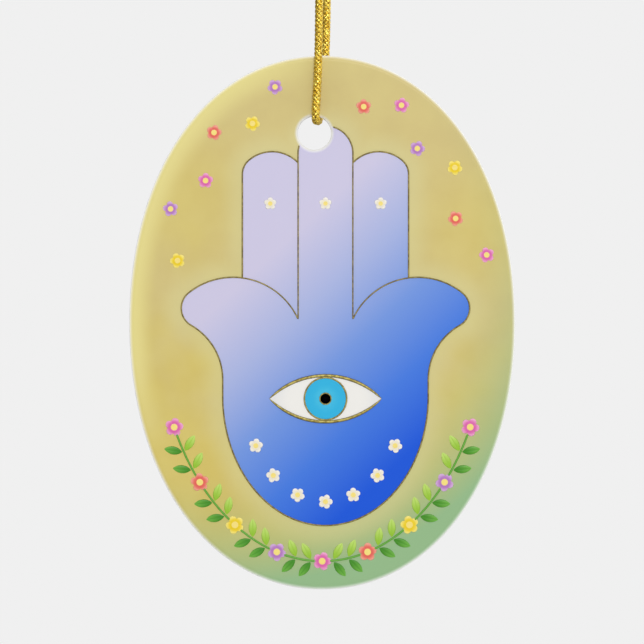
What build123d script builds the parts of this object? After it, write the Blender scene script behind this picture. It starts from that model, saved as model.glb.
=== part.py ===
from build123d import *
import math
import os

# Oval porcelain ornament with a printed hamsa hand, hung by a loop of gold braid. Millimetres.
# The origin is the crotch of the braid's loop, where a hook bears. +Z is up and the print faces -Y.

# Porcelain oval
oval_width = 60.0
oval_height = 83.0
oval_fullness = 0.584  # handle length of each quarter curve; 0.552 would be a true ellipse
thickness = 3.0
rim_round = 0.8
hole_diameter = 5.2
hole_round = 0.5
hole_side = -1.2  # hole's centre, to the right of the oval's middle
hole_drop = 12.05  # hole's centre, below the oval's top

# Print: one film lies on the glaze, and lines and figures are a second film on top of it
film = 0.06
print_margin = 1.0  # bare rim around the print
hole_margin = 0.7  # bare ring around the hole

# Hand, measured from the oval's middle
hand_side = 0.51  # hand's axis, to the right
line_width = 0.32
middle_finger_width = 8.51
middle_finger_rise = 1.49  # straight side of the middle finger, above the fingers beside it
outer_finger_edge = 12.91
crown_height = 20.99  # centre of an outer finger's rounded end
crown_lean = 0.29  # how far it leans to the middle finger
crown_bulge = 1.23  # its radius, over half the finger's width
crown_corner = 2.85  # tighter round from that end into the finger's outer side
thumb_height = -4.08  # centre of the curve over a thumb
thumb_radius = 11.1
thumb_start = 1.0  # how far that curve starts inside the middle finger's side
thumb_tip_radius = 3.07
wrist_radius = 9.7  # hollow under a thumb
palm_width = 31.93
palm_height = -11.45  # where the palm is widest
palm_side = 2.58  # straight side of the palm, above that
palm_clearance = 5.55  # from the palm's lowest point down to the garland's stem

# Eye
eye_height = -11.85
eye_width = 17.4
eye_opening = 7.6
eye_line_width = 0.42
iris_diameter = 6.3
iris_ring_width = 0.27
pupil_diameter = 1.58
pupil_ring_width = 0.18

# Garland of blossoms and leaves
petal_count = 5
petal_reach = 0.87  # petals and heart of a garland blossom; the other blossoms are drawn smaller
petal_radius = 0.60
heart_radius = 0.54
garland_inset = 4.4
garland_span = 64.0
garland_blossom_count = 9
stem_width = 0.3
leaf_length = 2.9
leaf_width = 1.3
leaf_splay = 56.0
leaf_gap = 0.05
leaf_pairs_between = 2
leaf_start = 0.25  # first and last pair, as shares of the way from one blossom to the next
leaf_end = 0.58
loose_count = 6
loose_inset = 3.4
loose_stagger = 3.2
loose_start = 16.0
loose_end = 74.0
loose_size = 2.45
palm_blossom_count = 7
palm_blossom_inset = 3.7
palm_blossom_span = 62.0
palm_blossom_size = 2.25
finger_blossom_height = 18.5
finger_blossom_size = 1.96

# Gold braid
cord_diameter = 1.2
loop_drop = 34.0  # from the crotch of the loop down to the oval's top
hang_side = 0.3  # hanging point, to the right of the oval's middle
hole_clearance = 0.1
face_clearance = 0.15
front_rim_side = -0.82  # where the strands cross the rim, to the right of the hanging point
back_rim_side = 0.38
front_bight_side = -1.36  # where they turn into the hole
back_bight_side = -0.8
knot_turns = 3
knot_slack = 0.1
knot_rise = 0.1
knot_round = 1.0
tail_rise = 4.0
tail_run = 4.6
tail_lean = 24.0
tail_skew = 0.3  # forward part of a tail's lean
arc_share = 0.45  # share of the shorter run that an arc takes up

oval_middle = Vector(-hang_side, 0, -loop_drop - oval_height / 2)
front = Plane(origin=oval_middle - Vector(0, thickness / 2, 0), x_dir=(1, 0, 0), z_dir=(0, -1, 0))
hole_radius = hole_diameter / 2
hole_height = oval_height / 2 - hole_drop
middle_half = middle_finger_width / 2
crown = Vector((middle_half + outer_finger_edge) / 2 - crown_lean, crown_height)
crown_radius = (outer_finger_edge - middle_half) / 2 + crown_bulge
thumb = Vector(middle_half + thumb_radius - thumb_start, thumb_height)
palm_half = palm_width / 2
palm_depth = palm_height + oval_height / 2 - garland_inset - palm_clearance
wrist = Vector(palm_half + wrist_radius, palm_height + palm_side)
garland_blossom_size = 2 * (petal_reach + petal_radius)
cord_radius = cord_diameter / 2


def arc_about(centre, start, end):
    """Shorter arc from start to end around centre."""
    spoke = (Vector(*start) - Vector(*centre)) + (Vector(*end) - Vector(*centre))
    radius = (Vector(*start) - Vector(*centre)).length
    return ThreePointArc(start, Vector(*centre) + spoke.normalized() * radius, end)


def circles_meet(first, first_radius, second, second_radius):
    """Point where two circles cross, to the left of the way from the first to the second."""
    gap = second - first
    along = (gap.length**2 + first_radius**2 - second_radius**2) / (2 * gap.length)
    across = math.sqrt(first_radius**2 - along**2)
    unit = gap.normalized()
    return first + unit * along + Vector(-unit.Y, unit.X) * across


def height_on(centre, radius, side):
    """Height of a circle's upper half at a distance to the right."""
    return centre.Y + math.sqrt(radius**2 - (side - centre.X) ** 2)


def film_of(sketch, layer):
    """Printed film on the front, in the first or the second layer."""
    return front.offset(layer * film) * extrude(sketch, film)


def oval(inset):
    """Oval of four quarter curves, drawn in from the rim."""
    a = oval_width / 2 - inset
    b = oval_height / 2 - inset
    ha = a * oval_fullness
    hb = b * oval_fullness
    quarters = [
        Bezier((a, 0), (a, hb), (ha, b), (0, b)),
        Bezier((0, b), (-ha, b), (-a, hb), (-a, 0)),
        Bezier((-a, 0), (-a, -hb), (-ha, -b), (0, -b)),
        Bezier((0, -b), (ha, -b), (a, -hb), (a, 0)),
    ]
    return make_face(quarters)


def hole_disc(margin):
    return Pos(hole_side, hole_height) * Circle(hole_radius + margin)


def porcelain_body():
    body = extrude(oval(0) - hole_disc(0), -thickness)
    rims = [edge for face in body.faces().filter_by(Axis.Z) for edge in face.outer_wire().edges()]
    body = fillet(rims, rim_round)
    mouths = [edge for face in body.faces().filter_by(Axis.Z) for edge in face.inner_wires()[0].edges()]
    return front * fillet(mouths, hole_round)


def hand_shape(grow):
    """Outline of the hand, moved out by grow."""
    tip = circles_meet(thumb, thumb_radius - thumb_tip_radius, wrist, wrist_radius + thumb_tip_radius)
    bottom = Vector(0, palm_height - palm_depth - grow)
    side_low = Vector(palm_half + grow, palm_height)
    side_high = Vector(palm_half + grow, wrist.Y)
    tip_low = wrist + (tip - wrist).normalized() * (wrist_radius - grow)
    tip_high = thumb + (tip - thumb).normalized() * (thumb_radius + grow)
    edge = outer_finger_edge + grow
    inner = middle_half + grow
    notch = Vector(edge, height_on(thumb, thumb_radius + grow, edge))
    corner_side = outer_finger_edge - crown_corner
    corner = Vector(corner_side, height_on(crown, crown_radius - crown_corner, corner_side))
    corner_low = corner + Vector(crown_corner + grow, 0)
    corner_high = crown + (corner - crown).normalized() * (crown_radius + grow)
    crown_inner = Vector(inner, height_on(crown, crown_radius + grow, inner))
    finger_end = Vector(0, height_on(crown, crown_radius, middle_half) + middle_finger_rise)
    shoulder = finger_end + Vector(inner, 0)
    top = finger_end + Vector(0, inner)
    half = make_face(
        [
            EllipticalCenterArc((0, palm_height), palm_half + grow, palm_depth + grow, 270, arc_size=90),
            Line(side_low, side_high),
            arc_about(wrist, side_high, tip_low),
            arc_about(tip, tip_low, tip_high),
            arc_about(thumb, tip_high, notch),
            Line(notch, corner_low),
            arc_about(corner, corner_low, corner_high),
            arc_about(crown, corner_high, crown_inner),
            Line(crown_inner, shoulder),
            arc_about(finger_end, shoulder, top),
            Line(top, bottom),
        ]
    )
    return Pos(hand_side, 0) * (half + mirror(half, Plane.YZ))


def finger_lines():
    """Lines between the fingers, and the curves from their feet to the thumbs."""
    foot = height_on(thumb, thumb_radius, middle_half)
    head = height_on(crown, crown_radius, middle_half)
    line = Pos(middle_half, (foot + head) / 2) * Rectangle(line_width, head - foot)
    ring = Circle(thumb_radius + line_width / 2) - Circle(thumb_radius - line_width / 2)
    reach = outer_finger_edge - middle_half
    window = Pos(middle_half + reach / 2, foot + thumb_radius / 2) * Rectangle(reach, thumb_radius)
    half = line + ((Pos(thumb.X, thumb.Y) * ring) & window)
    return Pos(hand_side, 0) * (half + mirror(half, Plane.YZ))


def hand_outline():
    rim_line = hand_shape(line_width / 2) - hand_shape(-line_width / 2)
    return rim_line + finger_lines() - hole_disc(hole_margin)


def almond(grow):
    """Eye's almond between two equal arcs, moved out by grow."""
    radius = (eye_width**2 + eye_opening**2) / (4 * eye_opening)
    centre = eye_opening / 2 - radius
    half_height = eye_opening / 2 + grow
    half_width = math.sqrt((radius + grow) ** 2 - centre**2)
    arcs = [
        ThreePointArc((-half_width, 0), (0, half_height), (half_width, 0)),
        ThreePointArc((half_width, 0), (0, -half_height), (-half_width, 0)),
    ]
    return Pos(hand_side, eye_height) * make_face(arcs)


def eye_disc(radius):
    return Pos(hand_side, eye_height) * Circle(radius)


def blossom(size):
    """Round petals around a heart."""
    share = size / garland_blossom_size
    petal = Pos(petal_reach * share, 0) * Circle(petal_radius * share)
    flower = Circle(heart_radius * share)
    for k in range(petal_count):
        flower += Rot(0, 0, 90 + 360 * k / petal_count) * petal
    return flower


def leaf():
    """Pointed leaf from its stalk along +X."""
    arcs = [
        ThreePointArc((0, 0), (leaf_length / 2, leaf_width / 2), (leaf_length, 0)),
        ThreePointArc((leaf_length, 0), (leaf_length / 2, -leaf_width / 2), (0, 0)),
    ]
    return make_face(arcs)


def oval_place(inset, angle):
    """Point of an ellipse drawn in from the rim."""
    a = oval_width / 2 - inset
    b = oval_height / 2 - inset
    return Vector(a * math.cos(math.radians(angle)), b * math.sin(math.radians(angle)))


def oval_heading(inset, angle):
    """Direction of the same ellipse there, in degrees, towards a growing angle."""
    a = oval_width / 2 - inset
    b = oval_height / 2 - inset
    t = math.radians(angle)
    return math.degrees(math.atan2(b * math.cos(t), -a * math.sin(t)))


def ground_blossoms():
    """Blossoms of the garland, and the loose ones above it, as colour and sketch."""
    colours = ["pink", "coral", "yellow", "lilac"]
    placed = []
    for k in range(garland_blossom_count):
        angle = -90 + garland_span * (2 * k / (garland_blossom_count - 1) - 1)
        spot = oval_place(garland_inset, angle)
        flower = Pos(spot.X, spot.Y) * Rot(0, 0, angle) * blossom(garland_blossom_size)
        placed.append((colours[k % len(colours)], flower))
    for k in range(loose_count):
        rise = loose_start + (loose_end - loose_start) * k / (loose_count - 1)
        for side, angle in enumerate((rise, 180 - rise)):
            spot = oval_place(loose_inset + loose_stagger * ((k + side) % 2), angle)
            flower = Pos(spot.X, spot.Y) * Rot(0, 0, angle) * blossom(loose_size)
            placed.append((colours[(k + 2 * side) % len(colours)], flower))
    return placed


def cream_blossoms():
    """Pale blossoms along the palm, and one on each finger."""
    flowers = Sketch()
    a = palm_half - palm_blossom_inset
    b = palm_depth - palm_blossom_inset
    for k in range(palm_blossom_count):
        angle = -90 + palm_blossom_span * (2 * k / (palm_blossom_count - 1) - 1)
        x = a * math.cos(math.radians(angle))
        y = palm_height + b * math.sin(math.radians(angle))
        flowers += Pos(hand_side + x, y) * Rot(0, 0, angle) * blossom(palm_blossom_size)
    finger_middle = (middle_half + outer_finger_edge) / 2
    for side in (-finger_middle, 0, finger_middle):
        flowers += Pos(hand_side + side, finger_blossom_height) * blossom(finger_blossom_size)
    return flowers


def blossoms_of(colour):
    flowers = Sketch()
    for name, flower in ground_blossoms():
        if name == colour:
            flowers += flower
    return flowers


def leaves_on(side):
    """Leaves on the inner side (+1) or the outer side (-1) of the stem, tips away from the bottom."""
    leaves = Sketch()
    step = 2 * garland_span / (garland_blossom_count - 1)
    first = 0 if garland_blossom_count % 2 else step / 2
    base = stem_width / 2 + leaf_gap
    for gap in range((garland_blossom_count - 1) // 2):
        for pair in range(leaf_pairs_between):
            share = leaf_start + (leaf_end - leaf_start) * pair / max(leaf_pairs_between - 1, 1)
            angle = -90 + first + step * (gap + share)
            spot = oval_place(garland_inset, angle)
            heading = oval_heading(garland_inset, angle)
            inward = Vector(-math.sin(math.radians(heading)), math.cos(math.radians(heading)))
            foot = spot + inward * base * side
            right = Pos(foot.X, foot.Y) * Rot(0, 0, heading + leaf_splay * side) * leaf()
            leaves += right + mirror(right, Plane.YZ)
    return leaves


def garland_stem():
    """Thin stem along the garland, broken by its blossoms."""
    a = oval_width / 2 - garland_inset
    b = oval_height / 2 - garland_inset
    half = stem_width / 2
    ring = Ellipse(a + half, b + half) - Ellipse(a - half, b - half)
    ends = b * math.cos(math.radians(garland_span))
    window = Pos(0, -ends - oval_height / 2) * Rectangle(oval_width, oval_height)
    stem = ring & window
    for _, flower in ground_blossoms():
        stem -= flower
    return stem


def tube(path):
    """Round tube along a path, checked against its section times its length."""
    section = Plane(origin=path @ 0, z_dir=path % 0) * Circle(cord_radius)
    solid = sweep(section, path=path)
    share = solid.volume / (math.pi * cord_radius**2 * path.length)
    print(f"tube of {path.length:.1f} mm, volume {share:.3f} of section times length")
    return solid


strand_out = thickness / 2 + 2 * film + face_clearance + cord_radius
strand_side = cord_radius  # the strands just clear each other, seen from the front
loop_radius = math.hypot(strand_out, strand_side)
loop_centre = -(loop_radius - cord_radius)
loop_turn = math.degrees(math.atan2(strand_out, strand_side))
bend_radius = strand_out - (thickness / 2 - hole_round)
oval_top = -loop_drop
hole_z = oval_top - hole_drop
seat_radius = hole_radius - cord_radius - hole_clearance
wall_end = (strand_out + thickness / 2 - hole_round) / (2 * strand_out)
wall_end_side = front_bight_side + (back_bight_side - front_bight_side) * wall_end
bight_z = hole_z + math.sqrt(seat_radius**2 - (wall_end_side - (hole_side - hang_side)) ** 2)

front_top = Vector(-strand_side, -strand_out, loop_centre)
front_rim = Vector(front_rim_side, -strand_out, oval_top)
front_bight = Vector(front_bight_side, -strand_out, bight_z)
back_bight = Vector(back_bight_side, strand_out, bight_z)
back_rim = Vector(back_rim_side, strand_out, oval_top)
back_top = Vector(strand_side, strand_out, loop_centre)


def rim_radius(before, at, after):
    """Arc at a route point, as large as its two runs allow."""
    turn = math.radians((at - before).get_angle(after - at))
    run = min((at - before).length, (after - at).length)
    return arc_share * run / math.tan(turn / 2)


def cord_route():
    """Cord from one side of the loop's top, through the hole, to the other."""
    radii = [
        rim_radius(front_top, front_rim, front_bight),
        bend_radius,
        bend_radius,
        rim_radius(back_bight, back_rim, back_top),
    ]
    print("cord radii", [round(radius, 2) for radius in radii])
    return FilletPolyline(front_top, front_rim, front_bight, back_bight, back_rim, back_top, radius=radii)


def strands_and_bight():
    """Front strand, bight and back strand, cut where the bends begin."""
    edges = cord_route().edges()
    front_strand = tube(Wire(edges[:3]))
    bight = tube(Wire(edges[3:6]))
    back_strand = tube(Wire(edges[6:]))
    return front_strand, bight, back_strand


knot_radius = (3 * cord_diameter + knot_slack) / 2  # one strand inside, one turn around it
knot_height = knot_turns * cord_diameter + knot_slack


def cord_knot():
    barrel = Cylinder(knot_radius, knot_height, align=(Align.CENTER, Align.CENTER, Align.MIN))
    return Pos(0, 0, knot_rise) * fillet(barrel.edges().filter_by(GeomType.CIRCLE), knot_round)


def hanging_eye(knot):
    """Curved tops of the loop, from the strands into the underside of the knot."""
    eye_sweep = math.degrees(math.acos((cord_radius + knot_slack / 2) / loop_radius))
    halves = []
    for start in (0, 180):
        sweep_way = eye_sweep if start == 0 else -eye_sweep
        arc = CenterArc((0, 0), loop_radius, start, sweep_way)
        path = Pos(0, 0, loop_centre) * Rot(0, 0, loop_turn) * Rot(90, 0, 0) * arc
        halves.append(tube(path) - knot)
    return Part() + halves


def cord_tails(knot):
    """Two cut ends, which leave the top of the knot and lean apart."""
    tails = []
    for side in (-1, 1):
        foot = Vector(side * (cord_radius + knot_slack / 2), 0, knot_rise + knot_height - knot_round)
        bend = foot + Vector(0, 0, knot_round + tail_rise)
        lean = math.radians(tail_lean)
        aside = side * math.sin(lean)
        end = bend + Vector(aside, -tail_skew * aside, math.cos(lean)) * tail_run
        radius = rim_radius(foot, bend, end)
        print("tail radius", round(radius, 2))
        tails.append(tube(FilletPolyline(foot, bend, end, radius=[radius])) - knot)
    return Part() + tails


iris_outer = iris_diameter / 2 + iris_ring_width
pupil_outer = pupil_diameter / 2 + pupil_ring_width
hand_area = hand_shape(0)
eye_inside = almond(-eye_line_width)
knot_solid = cord_knot()
front_strand, cord_bight, back_strand = strands_and_bight()

nodes = {
    "porcelain_body": porcelain_body(),
    "ground_print": film_of(oval(print_margin) - hand_area - hole_disc(hole_margin), 0),
    "hand_print": film_of(hand_area - hole_disc(hole_margin), 0),
    "hand_outline": film_of(hand_outline(), 1),
    "eye_outline": film_of(almond(0) - eye_inside, 1),
    "eye_white": film_of(eye_inside - eye_disc(iris_outer), 1),
    "iris_ring": film_of((eye_disc(iris_outer) - eye_disc(iris_diameter / 2)) & eye_inside, 1),
    "iris_print": film_of((eye_disc(iris_diameter / 2) - eye_disc(pupil_outer)) & eye_inside, 1),
    "pupil_ring": film_of(eye_disc(pupil_outer) - eye_disc(pupil_diameter / 2), 1),
    "pupil_print": film_of(eye_disc(pupil_diameter / 2), 1),
    "blossoms_pink": film_of(blossoms_of("pink"), 1),
    "blossoms_coral": film_of(blossoms_of("coral"), 1),
    "blossoms_yellow": film_of(blossoms_of("yellow"), 1),
    "blossoms_lilac": film_of(blossoms_of("lilac"), 1),
    "blossoms_cream": film_of(cream_blossoms(), 1),
    "garland_stem": film_of(garland_stem(), 1),
    "leaves_inner": film_of(leaves_on(1), 1),
    "leaves_outer": film_of(leaves_on(-1), 1),
    "cord_knot": knot_solid,
    "cord_tails": cord_tails(knot_solid),
    "hanging_eye": hanging_eye(knot_solid),
    "front_strand": front_strand,
    "cord_bight": cord_bight,
    "back_strand": back_strand,
}

os.makedirs("parts", exist_ok=True)
for name, solid in nodes.items():
    export_step(solid, f"parts/{name}.step")
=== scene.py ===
import math
import bmesh
import bpy
import numpy as np
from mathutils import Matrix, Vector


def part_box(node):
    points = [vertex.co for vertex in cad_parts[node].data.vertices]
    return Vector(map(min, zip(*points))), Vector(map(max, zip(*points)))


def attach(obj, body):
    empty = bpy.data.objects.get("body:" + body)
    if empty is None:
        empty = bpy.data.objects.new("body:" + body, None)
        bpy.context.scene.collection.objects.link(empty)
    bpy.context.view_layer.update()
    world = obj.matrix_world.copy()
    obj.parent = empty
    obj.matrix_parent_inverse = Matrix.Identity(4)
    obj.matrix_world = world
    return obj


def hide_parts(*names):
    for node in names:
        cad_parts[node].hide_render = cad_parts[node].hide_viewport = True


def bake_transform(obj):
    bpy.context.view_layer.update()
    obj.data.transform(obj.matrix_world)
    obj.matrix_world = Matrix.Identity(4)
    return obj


# Hamsa hand ornament: a printed porcelain oval on a knotted loop of gold braid.
# The frame is in metres, with +Z up and the print facing -Y.
# The pieces' dictionaries are in millimetres and degrees.
# A fade there is a pair: where it starts and where it ends.

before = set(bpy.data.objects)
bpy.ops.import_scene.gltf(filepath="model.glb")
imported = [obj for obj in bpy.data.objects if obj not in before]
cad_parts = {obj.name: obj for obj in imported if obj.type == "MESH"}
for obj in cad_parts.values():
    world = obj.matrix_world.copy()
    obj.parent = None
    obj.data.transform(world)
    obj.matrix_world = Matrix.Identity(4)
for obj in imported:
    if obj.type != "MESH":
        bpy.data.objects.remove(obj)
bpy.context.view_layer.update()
scene = bpy.context.scene
mm = 0.001
weldGap = 1e-8  # metres between points that become one, at poles and tips
ovalLow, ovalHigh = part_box("porcelain_body")
ovalMiddle = (ovalLow + ovalHigh) / 2
halfWidth = (ovalHigh.x - ovalLow.x) / 2 / mm
halfHeight = (ovalHigh.z - ovalLow.z) / 2 / mm
thickness = (ovalHigh.y - ovalLow.y) / mm
print("frame loaded:", len(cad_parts), "nodes")


# Camera and light

camera = {
    "distance": 1.5,  # metres from the printed face
    "frameWidth": 0.1001,  # metres of that face across the picture
    "clipStart": 0.01,  # metres
    "sensor": 36.0,
    "aimSide": -0.03,  # from the oval's middle
    "aimRise": 0.08,
}
light = {
    "backdrop": (0.871, 0.871, 0.871, 1.0),
    "around": (1.0, 1.0, 1.0, 1.0),
    "aroundSides": 1.5,  # brightest level with the oval, and less by these straight in front and behind
    "frontDrop": 1.5,
    "backDrop": 0.75,
    "mirrorBright": (1.3, 1.3, 1.28, 1.0),
    "mirrorDark": (0.06, 0.06, 0.07, 1.0),
    "mirrorFrom": (0.9, -0.3, 0.3),  # bright side of what shines in the gold
    "mirrorFade": (-0.5, 0.75),
    "keyPlace": (0.08, -0.9, 0.3),  # metres from the oval's middle
    "keySize": 0.3,
    "keyPower": 4.3,
    "fillPlace": (0.1, -0.35, -0.6),
    "fillSize": 0.5,
    "fillPower": 0.4,
}


def addCamera():
    lens = bpy.data.cameras.new("camera")
    lens.sensor_width = camera["sensor"]
    lens.lens = camera["sensor"] * camera["distance"] / camera["frameWidth"]
    lens.clip_start = camera["clipStart"]
    eyePoint = bpy.data.objects.new("camera", lens)
    eyePoint.location = (
        ovalMiddle.x + camera["aimSide"] * mm,
        ovalLow.y - camera["distance"],
        ovalMiddle.z + camera["aimRise"] * mm,
    )
    eyePoint.rotation_euler = (math.pi / 2, 0, 0)
    scene.collection.objects.link(eyePoint)
    scene.camera = eyePoint


def plug(tree, socket, value):
    if isinstance(value, bpy.types.NodeSocket):
        tree.links.new(value, socket)
    else:
        socket.default_value = value


def addNode(tree, kind, inputs, **settings):
    node = tree.nodes.new("ShaderNode" + kind)
    for key, value in settings.items():
        setattr(node, key, value)
    for key, value in inputs.items():
        plug(tree, node.inputs[key], value)
    return node


def maths(tree, operation, first, second):
    return addNode(tree, "Math", {0: first, 1: second}, operation=operation).outputs["Value"]


def dot(tree, vector, way):
    return addNode(tree, "VectorMath", {0: vector, 1: way}, operation="DOT_PRODUCT").outputs["Value"]


def smooth(tree, value, start, end, low=0.0, high=1.0):
    # smooth step from low at start to high at end
    ends = {"Value": value, "From Min": start, "From Max": end, "To Min": low, "To Max": high}
    return addNode(tree, "MapRange", ends, interpolation_type="SMOOTHSTEP").outputs["Result"]


def mixColours(tree, share, first, second):
    return addNode(tree, "Mix", {0: share, 6: first, 7: second}, data_type="RGBA").outputs[2]


def addWorld():
    scene.world = bpy.data.worlds.new("world")
    scene.world.use_nodes = True
    tree = scene.world.node_tree
    tree.nodes.clear()
    rays = addNode(tree, "LightPath", {}).outputs
    looking = maths(tree, "MAXIMUM", rays["Is Camera Ray"], rays["Is Transmission Ray"])
    way = addNode(tree, "TexCoord", {}).outputs["Generated"]
    facing = smooth(tree, dot(tree, way, light["mirrorFrom"]), *light["mirrorFade"])
    shine = mixColours(tree, facing, light["mirrorDark"], light["mirrorBright"])
    front = dot(tree, way, (0.0, -light["frontDrop"], 0.0))
    back = dot(tree, way, (0.0, light["backDrop"], 0.0))
    strength = maths(tree, "SUBTRACT", light["aroundSides"], maths(tree, "MAXIMUM", front, back))
    soft = addNode(tree, "Background", {"Color": light["around"], "Strength": strength}).outputs[0]
    shiny = addNode(tree, "Background", {"Color": shine, "Strength": 1.0}).outputs[0]
    plain = addNode(tree, "Background", {"Color": light["backdrop"], "Strength": 1.0}).outputs[0]
    lit = addNode(tree, "MixShader", {0: rays["Is Glossy Ray"], 1: soft, 2: shiny}).outputs[0]
    seen = addNode(tree, "MixShader", {0: looking, 1: lit, 2: plain}).outputs[0]
    addNode(tree, "OutputWorld", {"Surface": seen})


def addLamp(name):
    area = bpy.data.lights.new(name, "AREA")
    area.size = light[name + "Size"]
    area.energy = light[name + "Power"]
    lamp = bpy.data.objects.new(name, area)
    lamp.location = [ovalMiddle[axis] + light[name + "Place"][axis] for axis in range(3)]
    lamp.rotation_euler = (ovalMiddle - lamp.location).to_track_quat("-Z", "Y").to_euler()
    scene.collection.objects.link(lamp)


addCamera()
addWorld()
addLamp("key")
addLamp("fill")
scene.view_settings.view_transform = "Standard"
print("camera and light set")


# Meshes from whole arrays

def onFace(x, z, lift):
    # mm right and up from the oval's middle and out of its printed face, as points of the frame
    x, z, lift = np.broadcast_arrays(x, z, lift)
    return np.stack([ovalMiddle.x + x * mm, ovalLow.y - lift * mm, ovalMiddle.z + z * mm], axis=-1)


def gridQuads(rows, columns, closeRows, closeColumns):
    # one quad for each cell of a grid, going round where a direction closes on itself
    i, j = np.indices((rows - (not closeRows), columns - (not closeColumns)))
    nextI = (i + 1) % rows
    nextJ = (j + 1) % columns
    corners = [i * columns + j, nextI * columns + j, nextI * columns + nextJ, i * columns + nextJ]
    return np.stack(corners, axis=-1).reshape(-1, 4)


def shell(points, closeRows, closeColumns, **marks):
    # copies x rows x columns of points, with a number at each point for every mark
    copies, rows, columns = points.shape[:3]
    one = gridQuads(rows, columns, closeRows, closeColumns)
    quads = one[None] + (np.arange(copies) * rows * columns)[:, None, None]
    values = {key: np.broadcast_to(value, points.shape[:3]).ravel() for key, value in marks.items()}
    return points.reshape(-1, 3), quads.reshape(-1, 4), values


def makeMesh(name, shells, material):
    pointSets, quadSets, markSets = zip(*shells)
    starts = np.cumsum([0] + [len(points) for points in pointSets])
    quads = np.concatenate([quads + start for quads, start in zip(quadSets, starts)])
    mesh = bpy.data.meshes.new(name)
    mesh.from_pydata(np.concatenate(pointSets).tolist(), [], quads.tolist())
    for key in markSets[0]:
        values = np.concatenate([marks[key] for marks in markSets])
        mesh.attributes.new(key, "FLOAT", "POINT").data.foreach_set("value", values.astype(np.float32))
    work = bmesh.new()
    work.from_mesh(mesh)
    bmesh.ops.remove_doubles(work, verts=work.verts, dist=weldGap)
    bmesh.ops.recalc_face_normals(work, faces=work.faces)
    work.to_mesh(mesh)
    work.free()
    mesh.polygons.foreach_set("use_smooth", np.ones(len(mesh.polygons), dtype=bool))
    mesh.materials.append(material)
    piece = bpy.data.objects.new(name, mesh)
    scene.collection.objects.link(piece)
    return piece


def addPiece(name, shells, material, slotName, *nodes):
    # a piece of the oval, in place of its CAD nodes
    piece = makeMesh(name, shells, material)
    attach(piece, "disc")
    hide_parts(*nodes)


def resampled(points, gone, steps):
    # a line's points at other lengths along it
    return np.stack([np.interp(steps, gone, column) for column in points.T], axis=1)


def evenly(points, spacing):
    # the same line with points at even steps
    gone = np.r_[0, np.cumsum(np.linalg.norm(np.diff(points, axis=0), axis=1))]
    steps = np.linspace(0, gone[-1], int(round(gone[-1] / spacing)) + 1)
    return resampled(points, gone, steps), steps


def fromEnds(steps):
    # length from each point of a line to its nearer end
    return np.minimum(steps, steps[-1] - steps)


# Materials

ink = {
    "roughness": 0.3,
    "specular": 0.12,
    "grainScale": 0.8,
    "grainDepth": 0.003,
}


def screenColour(red, green, blue):
    # 8-bit screen colour as linear light
    share = np.array([red, green, blue]) / 255
    linear = np.where(share <= 0.04045, share / 12.92, ((share + 0.055) / 1.055) ** 2.4)
    return (*linear.tolist(), 1.0)


def newMaterial(name, roughness=ink["roughness"], specular=ink["specular"], metallic=0.0):
    material = bpy.data.materials.new(name)
    material.use_nodes = True
    shader = material.node_tree.nodes["Principled BSDF"]
    shader.inputs["Roughness"].default_value = roughness
    shader.inputs["Specular IOR Level"].default_value = specular
    shader.inputs["Metallic"].default_value = metallic
    return material, material.node_tree, shader


def faceCoords(tree, x=0.0, z=0.0):
    # mm from a point of the oval's face
    place = addNode(tree, "TexCoord", {}).outputs["Object"]
    offset = (-ovalMiddle.x / mm - x, -ovalLow.y / mm, -ovalMiddle.z / mm - z)
    change = {"Vector": place, "Scale": [1 / mm] * 3, "Location": offset}
    return addNode(tree, "Mapping", change).outputs["Vector"]


def alongFace(tree, way):
    # mm from the oval's middle in one direction
    return dot(tree, faceCoords(tree), way)


def away(tree, x, z):
    # mm from a point of the oval's face, as one number
    return addNode(tree, "VectorMath", {0: faceCoords(tree, x, z)}, operation="LENGTH").outputs["Value"]


def mark(tree, name):
    return addNode(tree, "Attribute", {}, attribute_name=name).outputs["Fac"]


def noise(tree, vector, scale, detail=2.0):
    return addNode(tree, "TexNoise", {"Vector": vector, "Scale": scale, "Detail": detail}).outputs["Fac"]


def bump(tree, shader, height, depth):
    node = addNode(tree, "Bump", {"Height": height, "Distance": depth * mm})
    plug(tree, shader.inputs["Normal"], node.outputs["Normal"])


def inkGrain(tree, shader):
    bump(tree, shader, noise(tree, faceCoords(tree), ink["grainScale"]), ink["grainDepth"])


def ramp(tree, value, low, high, stops):
    # colours at numbers between low and high
    ends = {"Value": value, "From Min": low, "From Max": high}
    share = addNode(tree, "MapRange", ends).outputs["Result"]
    node = addNode(tree, "ValToRGB", {"Fac": share})
    points = node.color_ramp.elements
    points.remove(points[1])
    points[0].position = (stops[0][0] - low) / (high - low)
    points[0].color = stops[0][1]
    for number, colour in stops[1:]:
        points.new((number - low) / (high - low)).color = colour
    return node.outputs["Color"]


# Braid, one length from tail to tail

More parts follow.
